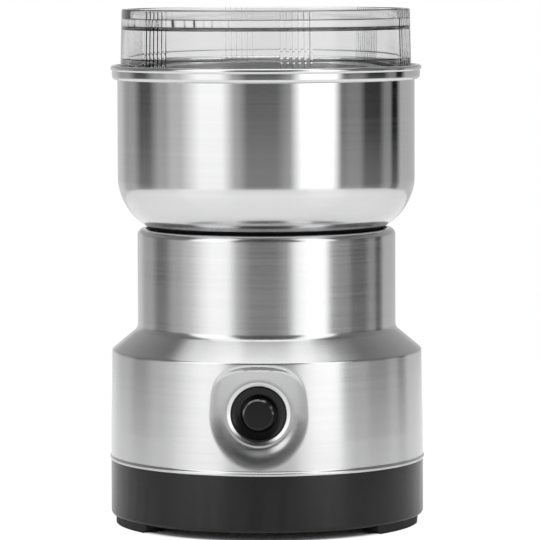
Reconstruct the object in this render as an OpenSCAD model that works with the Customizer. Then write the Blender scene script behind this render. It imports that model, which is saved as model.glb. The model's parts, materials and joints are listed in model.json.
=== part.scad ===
// Electric spice grinder: a press-button grinder with a fixed steel bowl and a clear lift-off lid.
// The origin is at the bottom centre of the feet, +Z is up and the button faces -Y. Millimetres.

/* [Feet] */
// Height of the feet below the base
foot_h = 2.8; // [2:0.1:5]
// Depth that each foot is let into the base
foot_seat = 1; // [0.5:0.1:1.4]
// Distance from the base's lower round to the feet
foot_edge = 0.3; // [0.2:0.05:4]
// Radial width of each foot
foot_w = 5.5; // [3:0.1:7]
// Angle from the front to the nearer end of the front feet
foot_start = 48.5; // [35:0.5:52]
// Angle that each foot covers
foot_span = 36; // [15:1:36]

/* [Base] */
// Height of the base's visible wall
base_h = 17.6; // [16:0.1:24]
// Thickness of the base's floor
base_floor = 2.5; // [2:0.1:4]
// Radius of the round along the base's lower edge
base_round = 1.2; // [0.5:0.1:2]
// Height of the spigot that stands up inside the shell
spigot_h = 5; // [3:0.1:8]
// Thickness of the spigot's wall
spigot_wall = 1.8; // [1.4:0.1:2.6]
// Number of air slots in the floor
vent_count = 14; // [6:1:16]
// Width of each air slot
vent_w = 2.4; // [1.5:0.1:3]
// Length of each air slot
vent_l = 13; // [6:0.5:14]

/* [Cord inlet] */
// Radius of the hole that the cord comes in through
cord_r = 3.4; // [2.5:0.1:3.6]
// Wall of the bush round the cord
bush_wall = 0.9; // [0.7:0.1:1.2]
// Height of the cord's axis over the base's floor
cord_up = 6.3; // [6:0.1:8]

/* [Shell] */
// Thickness of the sheet steel
shell_t = 0.8; // [0.6:0.05:1.2]
// Radius of the body above the hem
body_r = 49.85; // [48.6:0.05:55]
// How much narrower the body is at the shoulder
body_taper = 0.45; // [0:0.05:1.5]
// Height of the body
body_h = 35; // [33:0.1:42]
// How far the hem flares out
hem_flare = 0.45; // [0.1:0.05:1]
// Height over which the hem flares
hem_h = 5.6; // [2:0.1:8]
// Height of the hem's straight edge
hem_edge = 0.9; // [0.4:0.1:1.5]
// How far the hem stands out past the base
hem_over = 0.35; // [0:0.05:0.8]
// Height of the sloped shoulder
shoulder_h = 8; // [5:0.1:12]
// Radius of the round between body and shoulder
shoulder_round = 3; // [1:0.1:4]
// Radius of the round between shoulder and neck
neck_round = 1.2; // [0.5:0.1:3]
// Radius of the neck
neck_r = 41.15; // [40.4:0.05:45]
// Height of the neck
neck_h = 31.3; // [29:0.1:40]
// Radius of the neck's top edge
lip_round = 2; // [1:0.1:2.4]
// Width of the lip that is turned in at the top
lip_w = 2.65; // [2.5:0.05:4]

/* [Button] */
// Height of the button above the hem
button_up = 19.1; // [18:0.1:20]
// Radius of the pressed dish
dish_r = 14.9; // [12.6:0.1:15.4]
// Depth of the dish below the body's surface
dish_depth = 3.85; // [2.5:0.05:4.5]
// Radius of the dish's wall
dish_round = 3.4; // [2:0.1:3.6]
// Radius of the bezel
bezel_r = 8.55; // [7.8:0.05:9]
// Gap between the bezel and the turned edge of its hole
bezel_gap = 0.45; // [0.2:0.05:0.7]
// How far the bezel stands out of the dish's floor
bezel_rise = 0.7; // [0.3:0.05:1.5]
// Radius of the cap
cap_r = 4.9; // [4.2:0.05:5.4]
// Gap round the cap
cap_gap = 0.65; // [0.3:0.05:0.8]
// How far the cap stands out of the dish's floor
cap_rise = 3.5; // [2.6:0.05:3.6]
// Travel of the button
press = 2.5; // [1:0.1:2.6]

/* [Switch] */
// Width of the switch
switch_w = 20; // [18:0.5:22]
// Height of the switch
switch_h = 15; // [12:0.5:18]
// Free space between the motor's plates and the switch
switch_gap = 5; // [4.5:0.1:6.1]
// Length of the spring behind the button
spring_l = 5.4; // [4.8:0.1:6]
// Thickness of the spring's wire
spring_wire = 0.5; // [0.3:0.05:0.5]

/* [Bowl] */
// Thickness of the bowl's steel
bowl_t = 0.8; // [0.6:0.05:1.2]
// Radius of the bowl
bowl_r = 47.3; // [45:0.1:50]
// How far the bowl sits down into the neck
bowl_sink = 3.2; // [2.6:0.1:3.6]
// Slope of the bowl's cone
bowl_cone = 38; // [30:1:45]
// Radius of the round between cone and wall
bowl_corner = 16.3; // [10:0.1:17]
// Height of the bowl from its floor to the rim's step
bowl_h = 49.9; // [42:0.1:60]
// How far the rim steps out
rim_out = 1.7; // [1.4:0.05:2.2]
// Height of the rim above its step
rim_h = 3.7; // [3:0.1:5]
// Radius of the curled edge
curl_r = 0.9; // [0.7:0.05:1.1]
// Gap between the bowl's cone and the neck's lip
lip_gap = 0.36; // [0.2:0.02:0.6]

/* [Lid] */
// Wall of the clear lid
lid_wall = 2.2; // [1.6:0.1:3]
// Height of the lid above the bowl's rim step
lid_h = 21.6; // [16:0.1:30]
// Draft of the lid's wall
lid_draft = 0.45; // [0.1:0.05:1]
// How far the lid's wall stands in from the bowl's wall
lid_in = 1.05; // [0.8:0.05:2]
// Depth of the lid's recessed top
lid_recess = 4.8; // [3:0.1:7]
// Thickness of the lid's top plate
lid_plate = 2; // [1.4:0.1:3]
// Depth of the lid's skirt inside the bowl
skirt_h = 5.5; // [3:0.1:10]
// Gap between the lid's skirt and the bowl
skirt_gap = 0.4; // [0.3:0.05:0.6]
// Thickness of the lid's flange
flange_t = 1.6; // [1:0.1:2]
// Height of the thicker collar inside the lid
collar_h = 5.7; // [4:0.1:8]
// Number of groups of grip ribs
rib_groups = 6; // [3:1:8]
// Number of ribs in a group
rib_count = 6; // [3:1:8]
// Angle between two ribs of a group
rib_pitch = 2.3; // [2:0.1:3]
// Width of a rib
rib_w = 0.9; // [0.6:0.05:1.2]
// How far a rib stands out
rib_out = 0.35; // [0.2:0.05:0.6]
// Angle from the front to the middle of the first group
rib_start = 15; // [0:1:60]

/* [Blade] */
// Radius that the blade sweeps
blade_r = 33; // [26:0.5:34]
// Width of the blade at its middle
blade_w = 13; // [10:0.5:16]
// Width of the blade at its tips
tip_w = 8.5; // [6:0.5:9.5]
// Thickness of the blade
blade_t = 1.5; // [1:0.1:2]
// Half length of the blade's flat middle
blade_flat = 11; // [9:0.5:14]
// Angle of the wing that is bent up
wing_up = 17; // [5:1:25]
// Angle of the wing that is bent down
wing_down = 5; // [1:1:7]
// Radius of the bends
blade_bend = 3; // [2:0.5:4]
// Rounding of the blade's tips
tip_round = 2; // [1:0.5:3]
// How far one corner of each tip is set back
tip_slant = 1.5; // [0.5:0.5:3]
// Width of the ground edge
grind_w = 3; // [2:0.5:4]
// Thickness left at the cutting edge
edge_t = 0.3; // [0.2:0.1:0.5]

/* [Motor] */
// Width of the stator's plates
stator_x = 52; // [50:0.5:54]
// Depth of the stator's plates
stator_y = 45; // [44:0.5:46]
// Height of the stack of plates
stack_h = 24; // [18:0.5:26]
// Radius of the stator's bore
bore_r = 16.1; // [15.5:0.1:16.4]
// Air gap between stator and armature
air_gap = 0.5; // [0.3:0.05:0.8]
// Number of slots in the armature
slot_count = 12; // [8:1:14]
// How far the coils reach past the stack
coil_over = 5; // [3:0.5:6]
// Radius of the shaft
shaft_r = 4; // [3.5:0.05:4.4]
// Radius of the shaft's thinner ends
journal_r = 3; // [2.5:0.05:3.2]
// Running clearance of the shaft in its bearings
run_gap = 0.05; // [0.02:0.01:0.1]
// Thickness of the bracket plates
plate_t = 3; // [2:0.1:4]
// Radius of the fan
fan_r = 20; // [16:0.5:22]
// Height of the fan
fan_h = 6.5; // [5:0.5:8]
// Number of the fan's blades
fan_blades = 9; // [6:1:12]
// Radius of the commutator
comm_r = 9.5; // [8.5:0.1:10.5]
// Height of the commutator
comm_h = 9; // [8:0.5:10]
// Radius of the motor's long screws
motor_screw_r = 1.9; // [1.5:0.1:2]

/* [Hidden] */
$fn = 96;

// Clearances: between pieces that are put together, and an overcut that keeps cuts clean
fit = 0.1;
over = 1;
arc_step = 9;

// Radii of the shell and of what follows it
hem_r = body_r + hem_flare;
base_r = hem_r - hem_over;
spigot_r = body_r - body_taper - shell_t - 0.15;
base_in_r = spigot_r - spigot_wall;
foot_r = base_r - base_round - foot_edge;
neck_in_r = neck_r - shell_t;
frame_r = neck_in_r - 0.4;
lip_r = neck_r - lip_w;
bowl_floor_r = lip_r - lip_gap - bowl_sink / tan(bowl_cone);

// Heights of the outside
z_base = foot_h;
z_floor = z_base + base_floor;
z_seam = z_base + base_h;
z_shoulder = z_seam + body_h;
z_neck = z_shoulder + shoulder_h;
z_lip = z_neck + neck_h;
z_bowl = z_lip - bowl_sink;
z_bowl_floor = z_bowl + bowl_t;
z_step = z_bowl + bowl_h;
z_seat = z_step + bowl_t;
z_rim = z_step + rim_h;
z_button = z_seam + button_up;
z_cord = z_floor + cord_up;

// Button, seen as distances from the axis towards the front
dish_u = body_r - dish_depth;
hole_r = bezel_r + bezel_gap;
bezel_flange_r = hole_r + 2;
bezel_flange_t = 1.8;
bezel_back = dish_u - shell_t - bezel_flange_t;
cap_bore_r = cap_r + cap_gap;
collar_r = cap_bore_r + 1.2;
collar_t = 1.5;
collar_front = bezel_back - 0.3;
collar_back = collar_front - collar_t;
switch_front = collar_back - spring_l;
switch_back = stator_y / 2 + switch_gap;
switch_d = switch_front - switch_back;
stem_r = 2.2;
stem_back = switch_front + press + 0.4;
plunger_r = 1.8;
plunger_in = 3.6;
spring_r = collar_r - spring_wire - 1.4;

// Inner frame
gasket_t = 1;
gasket_in_r = 14;
gasket_out_r = 24;
deck_t = 3;
z_deck_top = z_bowl - gasket_t;
z_deck = z_deck_top - deck_t;
seal_t = 2;
z_seal = z_lip - shell_t - seal_t;
leg_r = 4;
leg_gap = 2;
web_t = 2;
leg_x = switch_w / 2 + leg_gap + leg_r;
leg_y = switch_back + leg_r - 0.75 * web_t;
z_post = z_seam + 3.6;
post_r = 5.2;
legs = [for (sx = [-1, 1], sy = [-1, 1]) [sx * leg_x, sy * leg_y]];

// Hub and blade
hub_stem_r = 7.2;
hub_flange_r = 10.5;
hub_flange_t = 2;
hub_boss_r = 6.5;
hub_h = 3.3;
hub_nut_t = 2.5;
hub_nut_r = 11;
z_hub_boss = z_bowl_floor + hub_flange_t;
z_hub_top = z_hub_boss + hub_h;
z_blade = z_hub_top + 0.8;
washer_t = 0.8;
washer_r = 6;
z_washer = z_blade + blade_t;
z_nut = z_washer + washer_t;
nut_r = 5.6;
nut_h = 3.4;
dome_r = 4.4;

// Motor, from the top down
bearing_r = 11;
bearing_t = 7;
bearing_wall = 2;
bearing_ring_t = 1.8;
shield_in = 0.6;
bearing_rise = 5.5;
motor_boss_h = hub_nut_t + 0.5 + bearing_rise;
z_motor_top = z_deck - motor_boss_h;
z_upper_plate = z_motor_top - plate_t;
fan_gap = 1.5;
z_fan = z_upper_plate - fan_gap - fan_h;
z_stack_top = z_fan - 1 - coil_over;
z_stack = z_stack_top - stack_h;
comm_gap = 3;
z_comm = z_stack - coil_over - comm_gap - comm_h;
z_lower_plate = z_comm - plate_t;
lower_bearing_r = 8;
lower_bearing_t = 5;
lower_hub_h = lower_bearing_t + 2;
z_lower_hub = z_lower_plate - lower_hub_h + plate_t;
z_shaft = z_lower_hub + 1.5;
rotor_r = bore_r - air_gap;
screw_x = 21;
screw_y = 17;
motor_post_r = 3.6;
corners = [for (sx = [-1, 1], sy = [-1, 1]) [sx * screw_x, sy * screw_y]];

// Brush gear
brush_x = 5.4;
brush_h = 6.4;
holder_wall = 0.8;
brush_l = 8;
brush_in = comm_r + 0.3;
holder_in = comm_r + 2;
holder_l = 14;
brush_spring_r = 1.9;
brush_spring_wire = 0.4;
z_brush = z_comm + comm_h / 2;
bar_w = brush_x + 2 * (fit + holder_wall) + 2.8;

// Base, its screws and its air slots
screw_sink = 8;
vent_at = 18;
base_screw_r = 1.75;
base_head_r = 3.2;
base_screw_l = 22;

// Cord inlet: bush, saddle and clamp
bush_r = cord_r + bush_wall;
bush_flange_r = bush_r + 1.8;
bush_flange_t = 1.2;
bush_face = base_r - 0.5;
bush_inner = base_in_r - 1.3;
saddle_x = 25;
saddle_y = 6;
saddle_margin = 5.5;
saddle_at = base_in_r - saddle_margin - saddle_y / 2;
clamp_screw_x = 9;
clamp_screw_r = 1.5;
clamp_t = 3.2;

// Interference suppressor
cap_box_x = 8;
cap_box_margin = 9.65;
cap_box_at = base_in_r - cap_box_margin - cap_box_x / 2;
cap_box_y = 17;
cap_box_h = 11;

// Bowl and lid
wall_foot = z_bowl + (bowl_r - bowl_floor_r) * tan(bowl_cone);
rim_r = bowl_r + rim_out;
curl_x = rim_r - curl_r / 2;
seal_r = 5.6;
seal_h = 2;
lid_r = bowl_r - lid_in;
lid_top_r = lid_r - lid_draft;
lid_in_r = lid_r - lid_wall;
skirt_r = bowl_r - bowl_t - skirt_gap;
flange_r = curl_x - curl_r - 0.3;
z_lid_top = z_seat + lid_h;
z_plate = z_lid_top - lid_recess;
rim_in_r = lid_top_r - lid_wall;

// Armature and stator
slot_at = rotor_r - 3.4;
slot_r = 1.9;
bar_count = 24;
z_bearing = z_motor_top + bearing_rise - bearing_t - 0.3;
window_x0 = 10.7;
window_x1 = 16.4;
window_y0 = 14.6;
window_wall = 2.4;
window_y1 = stator_y / 2 - window_wall;

// ---- Helpers: outlines with rounded corners, and skins of sheet metal ----

function unit(v) = v / norm(v);
function left(v) = [-v[1], v[0]];
function turn(u, v) = u[0] * v[1] - u[1] * v[0];
function rotated(v, a) = [v[0] * cos(a) - v[1] * sin(a), v[0] * sin(a) + v[1] * cos(a)];
function reversed(p) = [for (i = [len(p) - 1:-1:0]) p[i]];

// A corner p between a and b, rounded with radius r
function corner(a, p, b, r) =
    let (u = unit(p - a), v = unit(b - p), s = sign(turn(u, v)), bend = acos(u * v),
         steps = max(2, ceil(bend / arc_step)), c = p - u * r * tan(bend / 2) + s * r * left(u))
    [for (k = [0:steps]) c + r * rotated(-s * left(u), s * bend * k / steps)];

// The side of a line of corners, moved d to the left
function moved(p, i, d) =
    let (n = len(p) - 1, a = left(unit(p[max(i, 1)] - p[max(i, 1) - 1])),
         b = left(unit(p[min(i + 1, n)] - p[min(i, n - 1)])))
    p[i] + d * (a + b) / (1 + a * b);

// A line of corners [x, y, radius], rounded and moved d to the left
function path(corners, d = 0) =
    let (p = [for (c = corners) [c[0], c[1]]], n = len(p) - 1,
         q = [for (i = [0:n]) moved(p, i, d)])
    [for (i = [0:n])
        let (inner = i > 0 && i < n && corners[i][2] > 0,
             side = inner ? sign(turn(p[i] - p[i - 1], p[i + 1] - p[i])) : 0)
        each inner ? corner(q[i - 1], q[i], q[i + 1], corners[i][2] - side * d) : [q[i]]];

// A closed outline of corners [x, y, radius]
function outline(corners) =
    let (n = len(corners), p = [for (c = corners) [c[0], c[1]]])
    [for (i = [0:n - 1])
        each corners[i][2] > 0
            ? corner(p[(i + n - 1) % n], p[i], p[(i + 1) % n], corners[i][2]) : [p[i]]];

// Sheet of thickness t to the left of a line of corners
module sheet(corners, t) {
    polygon(concat(path(corners), reversed(path(corners, t))));
}

module tube(r, inner, z0, z1) {
    rotate_extrude()
        translate([inner, z0])
            square([r - inner, z1 - z0]);
}

module rod(r, z0, z1) {
    translate([0, 0, z0])
        cylinder(r = r, h = z1 - z0);
}

module at(points) {
    for (p = points)
        translate([p[0], p[1], 0])
            children();
}

// Places children drawn along Z so that they face the front at the button's height
module at_button() {
    translate([0, 0, z_button])
        rotate([90, 0, 0])
            children();
}

// Places children drawn along Z so that they face the back at the cord's height
module at_cord() {
    translate([0, 0, z_cord])
        rotate([-90, 0, 0])
            children();
}

// A rectangle with round corners
module plate(x, y, r) {
    polygon(outline([
        [-x / 2, -y / 2, r], [x / 2, -y / 2, r], [x / 2, y / 2, r], [-x / 2, y / 2, r]
    ]));
}

// A slot along X with round ends
module slot(length, width) {
    square([length - width, width], center = true);
    for (s = [-1, 1])
        translate([s * (length - width) / 2, 0])
            circle(d = width, $fn = 24);
}

// A coil spring along Z, from z = 0 to length, as one round wire
module coil(r, wire, length, turns) {
    sides = 6;
    per_turn = 14;
    rings = round(turns * per_turn);
    rise = length - wire;
    function spot(k, j) =
        let (a = 360 * k / per_turn, b = 360 * j / sides, d = r + wire / 2 * cos(b))
        [d * cos(a), d * sin(a), wire / 2 + rise * k / rings + wire / 2 * sin(b)];
    points = [for (k = [0:rings], j = [0:sides - 1]) spot(k, j)];
    walls = [for (k = [0:rings - 1], j = [0:sides - 1])
        let (m = (j + 1) % sides)
        each [
            [k * sides + j, k * sides + m, (k + 1) * sides + m],
            [k * sides + j, (k + 1) * sides + m, (k + 1) * sides + j]
        ]];
    first = [for (j = [sides - 1:-1:0]) j];
    last = [for (j = [0:sides - 1]) rings * sides + j];
    polyhedron(points, concat([first, last], walls));
}

// ---- Feet and base ----

// The four arcs that the feet follow, as a ring stretch from r0 to r1 and z0 to z1
module foot_arcs(r0, r1, z0, z1, spread, round) {
    for (back = [0, 1], side = [0, 1])
        mirror([side, 0, 0])
            mirror([0, back, 0])
                rotate([0, 0, foot_start - 90 - spread])
                    rotate_extrude(angle = foot_span + 2 * spread)
                        polygon(outline([[r0, z0, round], [r1, z0, round], [r1, z1, 0], [r0, z1, 0]]));
}

module feet() {
    color("#262628")
        foot_arcs(foot_r - foot_w, foot_r, 0, foot_h + foot_seat, 0, 0.7);
}

module base_section() {
    polygon(concat(
        path([[0, z_base, 0], [base_r, z_base, base_round], [base_r, z_seam, 0], [spigot_r, z_seam, 0],
              [spigot_r, z_seam + spigot_h, 0.5], [base_in_r, z_seam + spigot_h, 0],
              [base_in_r, z_floor, 1.5], [0, z_floor, 0]])
    ));
}

module base() {
    color("#2c2c2e")
        difference() {
            union() {
                rotate_extrude()
                    base_section();
                at(legs)
                    rod(post_r, z_floor - over, z_post);
                // saddle that the cord is clamped on
                translate([-saddle_x / 2, saddle_at - saddle_y / 2, z_floor - over])
                    cube([saddle_x, saddle_y, cord_up + over]);
                // ribs that hold the capacitor
                for (s = [-1, 1])
                    translate([cap_box_at - cap_box_x / 2, s * (cap_box_y / 2 + fit + 0.75) - 0.75, z_floor - over])
                        cube([cap_box_x, 1.5, 5 + over]);
            }
            foot_arcs(foot_r - foot_w - fit, foot_r + fit, z_base - over, z_base + foot_seat, 0.15, 0);
            at(legs) {
                rod(base_screw_r + fit, z_base - over, z_post + over);
                rod(base_head_r + 0.3, z_base - over, z_base + screw_sink);
            }
            for (k = [0:vent_count - 1])
                rotate([0, 0, 360 * (k + 0.5) / vent_count])
                    translate([vent_at, 0, z_base - over])
                        linear_extrude(base_floor + 2 * over)
                            slot(vent_l, vent_w);
            at_cord() {
                rod(bush_r + fit, base_in_r - 4, base_r + over);
                rod(bush_flange_r + fit, bush_face - bush_flange_t, base_r + over);
                rod(cord_r - 0.3, saddle_at - saddle_y, saddle_at + saddle_y);
            }
            // notch in the spigot that clears the shell's dish
            at_button()
                rod(dish_r + shell_t + 0.5, base_in_r / 2, base_r + over);
            for (s = [-1, 1])
                translate([s * clamp_screw_x, saddle_at, 0])
                    rod(clamp_screw_r + fit, z_floor + 0.8, z_cord + over);
        }
}

module base_screws() {
    z_head = z_base + screw_sink;
    color("#8b8d90")
        at(legs)
            difference() {
                union() {
                    rod(base_head_r, z_head - 2.2, z_head);
                    rod(base_screw_r, z_head - over, z_head + base_screw_l);
                }
                cross_recess(z_head - 2.2);
            }
}

// Cross recess that opens downwards at height z
module cross_recess(z) {
    for (a = [0, 90])
        rotate([0, 0, a])
            translate([-1.5, -0.35, z - over])
                cube([3, 0.7, 1.2 + over]);
}

// ---- Cord inlet: bush, saddle and clamp ----

module cord_bush() {
    color("#1f1f21")
        at_cord()
            difference() {
                union() {
                    rod(bush_flange_r, bush_face - bush_flange_t + fit, bush_face);
                    rod(bush_r, bush_inner, bush_face - over / 2);
                }
                rod(cord_r, bush_inner - over, bush_face + over);
            }
}

module cord_clamp() {
    color("#8f9194")
        difference() {
            translate([-saddle_x / 2, saddle_at - saddle_y / 2, z_cord])
                cube([saddle_x, saddle_y, clamp_t]);
            at_cord()
                rod(cord_r - 0.9, saddle_at - saddle_y, saddle_at + saddle_y);
            for (s = [-1, 1])
                translate([s * clamp_screw_x, saddle_at, 0])
                    rod(clamp_screw_r + fit, z_cord - over, z_cord + clamp_t + over);
        }
}

module clamp_screws() {
    z_top = z_cord + clamp_t;
    color("#8b8d90")
        for (s = [-1, 1])
            translate([s * clamp_screw_x, saddle_at, 0]) {
                rod(clamp_screw_r, z_floor + 1.2, z_top + over / 2);
                rod(clamp_screw_r + 1.2, z_top, z_top + 1.8);
            }
}

// ---- Interference suppressor ----

module capacitor() {
    color("#c9a227")
        translate([cap_box_at, 0, z_floor]) {
            linear_extrude(cap_box_h)
                plate(cap_box_x, cap_box_y, 1);
            for (s = [-1, 1])
                translate([0, s * 5, 0])
                    rod(0.5, cap_box_h - over, cap_box_h + 4);
        }
}

// ---- Outer shell ----

shell_line = [
    [hem_r, z_seam, 0],
    [hem_r, z_seam + hem_edge, 2],
    [body_r, z_seam + hem_h, 12],
    [body_r - body_taper, z_shoulder, shoulder_round],
    [neck_r, z_neck, neck_round],
    [neck_r, z_lip, lip_round],
    [lip_r, z_lip, 0]
];

// Everything inside the shell's outer face, d further in
module shell_core(d) {
    rotate_extrude()
        polygon(concat([[0, z_seam]], path(shell_line, d), [[0, z_lip - d]]));
}

// The dish as a body of revolution, d behind its face
module dish(d, far) {
    corner_u = dish_u + dish_round;
    rotate_extrude()
        polygon(concat(
            [[0, dish_u - d]],
            path([[dish_r - dish_round - over, dish_u - d, 0], [dish_r + d, dish_u - d, dish_round + d],
                  [dish_r + d, corner_u + over, 0]]),
            [[dish_r + d, far], [0, far]]
        ));
}

module outer_shell() {
    color("#c4c6c8")
        difference() {
            union() {
                rotate_extrude()
                    sheet(shell_line, shell_t);
                intersection() {
                    shell_core(shell_t / 2);
                    at_button()
                        dish(shell_t, body_r);
                }
            }
            at_button() {
                dish(0, body_r + 5);
                rod(hole_r, dish_u - dish_depth, dish_u + over);
                turned_edge();
            }
        }
}

// What is taken off the hole's outer edge, so that it looks rolled in
module turned_edge() {
    roll = shell_t * 0.8;
    rotate_extrude()
        polygon(concat(
            [[hole_r - 0.2, dish_u - roll]],
            [for (k = [0:5]) [hole_r + roll - roll * cos(18 * k), dish_u - roll + roll * sin(18 * k)]],
            [[hole_r + roll, dish_u + 0.2], [hole_r - 0.2, dish_u + 0.2]]
        ));
}

module neck_seal() {
    seal_in_r = lip_r - lip_gap - shell_t / tan(bowl_cone) + 0.2;
    color("#171718")
        rotate_extrude()
            polygon(outline([
                [seal_in_r, z_seal, 0], [frame_r, z_seal, 0],
                [frame_r, z_seal + seal_t, max(0, lip_round - shell_t)], [seal_in_r, z_seal + seal_t, 0]
            ]));
}

// ---- Inner frame ----

module motor_frame() {
    color("#3b3c40")
        difference() {
            union() {
                rod(frame_r, z_deck, z_deck_top);
                tube(frame_r, frame_r - 2.2, z_deck - 6, z_seal);
                at(legs)
                    rod(leg_r, z_post, z_deck + over);
                at(corners)
                    rod(motor_post_r, z_motor_top, z_deck + over);
                // web that carries the switch
                translate([-leg_x, -switch_back, z_button - switch_h / 2])
                    cube([2 * leg_x, web_t, switch_h]);
            }
            rod(hub_stem_r + fit, z_deck - over, z_deck_top + over);
            at(legs)
                rod(base_screw_r + fit, z_post - over, z_base + screw_sink + base_screw_l + 2);
            at(corners)
                rod(motor_screw_r + fit, z_motor_top - over, z_deck_top - 1.2);
        }
}

module bowl_gasket() {
    color("#1c1c1e")
        tube(gasket_out_r, gasket_in_r, z_deck_top, z_bowl);
}

// ---- Bowl ----

bowl_line = [
    [hub_stem_r + fit, z_bowl, 0],
    [bowl_floor_r, z_bowl, 3],
    [bowl_r, wall_foot, bowl_corner],
    [bowl_r, z_step, 0],
    [rim_r, z_step, 1.3],
    [rim_r, z_rim, 0]
];

module bowl() {
    color("#c9cbcd")
        rotate_extrude() {
            sheet(bowl_line, bowl_t);
            translate([curl_x, z_rim])
                circle(r = curl_r, $fn = 32);
        }
}

// ---- Shaft hub in the bowl's floor ----

module shaft_hub() {
    color("#232325")
        rotate_extrude()
            polygon(outline([
                [shaft_r + run_gap, z_deck - hub_nut_t, 0],
                [hub_stem_r, z_deck - hub_nut_t, 0],
                [hub_stem_r, z_bowl_floor, 0],
                [hub_flange_r, z_bowl_floor, 0],
                [hub_flange_r, z_hub_boss, 0.8],
                [hub_boss_r, z_hub_boss + 0.6, 0.6],
                [hub_boss_r, z_hub_top, 0.4],
                [seal_r, z_hub_top, 0],
                [seal_r, z_hub_top - seal_h, 0],
                [shaft_r + run_gap, z_hub_top - seal_h, 0]
            ]));
}

module shaft_seal() {
    color("#8a2f24")
        tube(seal_r - 0.02, shaft_r + run_gap, z_hub_top - seal_h, z_hub_top - 0.2);
}

module hub_nut() {
    color("#a9abad")
        difference() {
            translate([0, 0, z_deck - hub_nut_t])
                cylinder(r = hub_nut_r, h = hub_nut_t, $fn = 6);
            rod(hub_stem_r + fit, z_deck - hub_nut_t - over, z_deck + over);
        }
}

// ---- Lid ----

module lid() {
    color("#dfe3e6", 0.45)
        union() {
            rotate_extrude()
                polygon(outline([
                    [0, z_plate - lid_plate, 0],
                    [rim_in_r - 0.4, z_plate - lid_plate, 0.8],
                    [lid_in_r, z_seat + collar_h, 0],
                    [lid_in_r - 0.5, z_seat + collar_h, 0],
                    [lid_in_r - 0.5, z_seat - skirt_h, 0.6],
                    [skirt_r, z_seat - skirt_h, 0.6],
                    [skirt_r, z_seat, 0],
                    [flange_r, z_seat, 0],
                    [flange_r, z_seat + flange_t, 0.3],
                    [lid_r, z_seat + flange_t, 0],
                    [lid_top_r, z_lid_top, 0.6],
                    [rim_in_r, z_lid_top, 0.6],
                    [rim_in_r - 0.2, z_plate, 0.5],
                    [0, z_plate, 0]
                ]));
            grip_ribs();
        }
}

module grip_ribs() {
    lean = atan(lid_draft / (lid_h - flange_t));
    foot = z_seat + flange_t - 0.2;
    long = (lid_h - flange_t) / cos(lean) - 0.6;
    for (g = [0:rib_groups - 1], k = [0:rib_count - 1])
        rotate([0, 0, rib_start - 90 + 360 * g / rib_groups + (k - (rib_count - 1) / 2) * rib_pitch])
            translate([lid_r, 0, foot])
                rotate([0, -lean, 0])
                    translate([-0.8, -rib_w / 2, 0])
                        cube([0.8 + rib_out, rib_w, long]);
}

// ---- Blade ----

// The bevel of one wing's cutting edge, ground off its upper side
module ground_edge(angle) {
    reach = (blade_r - blade_flat) / cos(angle);
    taper = atan((blade_w - tip_w) / 2 / reach);
    drop = blade_t - edge_t;
    translate([blade_flat, 0, 0])
        rotate([0, -angle, 0])
            translate([0, blade_w / 2, 0])
                rotate([0, 0, -taper])
                    translate([blade_bend, 0, 0])
                        rotate([90, 0, 90])
                            linear_extrude(reach)
                                polygon([
                                    [-2 * grind_w, blade_t + drop],
                                    [grind_w, edge_t - drop],
                                    [grind_w, blade_t + drop]
                                ]);
}

// Strip of steel, bent up at one end and down at the other
module bent_strip() {
    reach = blade_r + over - blade_flat;
    translate([0, blade_w, 0])
        rotate([90, 0, 0])
            linear_extrude(2 * blade_w)
                sheet([
                    [-blade_flat - reach, -reach * tan(wing_down), 0],
                    [-blade_flat, 0, blade_bend],
                    [blade_flat, 0, blade_bend],
                    [blade_flat + reach, reach * tan(wing_up), 0]
                ], blade_t);
}

module blade() {
    half = [
        [blade_flat, -blade_w / 2, 0],
        [blade_r, -tip_w / 2, tip_round],
        [blade_r - tip_slant, tip_w / 2, tip_round],
        [blade_flat, blade_w / 2, 0]
    ];
    color("#b9bbbe")
        difference() {
            translate([0, 0, z_blade])
                intersection() {
                    bent_strip();
                    translate([0, 0, -blade_r])
                        linear_extrude(2 * blade_r)
                            polygon(outline(concat(half, [for (c = half) [-c[0], -c[1], c[2]]])));
                }
            translate([0, 0, z_blade])
                ground_edge(wing_up);
            translate([0, 0, z_blade])
                rotate([0, 0, 180])
                    ground_edge(-wing_down);
            rod(journal_r + fit / 2, z_blade - over, z_blade + blade_t + over);
        }
}

module blade_washer() {
    color("#9d9fa2")
        tube(washer_r, journal_r + fit / 2, z_washer, z_nut);
}

module blade_nut() {
    color("#aeb0b3")
        difference() {
            union() {
                translate([0, 0, z_nut])
                    cylinder(r = nut_r, h = nut_h, $fn = 6);
                intersection() {
                    translate([0, 0, z_nut + nut_h - 1.2])
                        sphere(r = dome_r);
                    rod(dome_r, z_nut + 1, z_nut + nut_h + dome_r);
                }
            }
            rod(journal_r + fit / 2, z_nut - over, z_nut + nut_h + 0.8);
        }
}

// ---- Rotor ----

module motor_shaft() {
    color("#a2a4a8")
        union() {
            rod(journal_r, z_shaft, z_blade + over / 2);
            rod(shaft_r, z_comm, z_blade);
            rod(journal_r, z_blade - over, z_nut + nut_h);
        }
}

module armature_core() {
    color("#6d6f73")
        translate([0, 0, z_stack])
            linear_extrude(stack_h)
                difference() {
                    circle(r = rotor_r);
                    circle(r = shaft_r + fit / 2);
                    for (k = [0:slot_count - 1])
                        rotate(360 * k / slot_count) {
                            translate([slot_at, 0])
                                circle(r = slot_r, $fn = 32);
                            translate([slot_at, -0.7])
                                square([rotor_r, 1.4]);
                        }
                }
}

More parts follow.
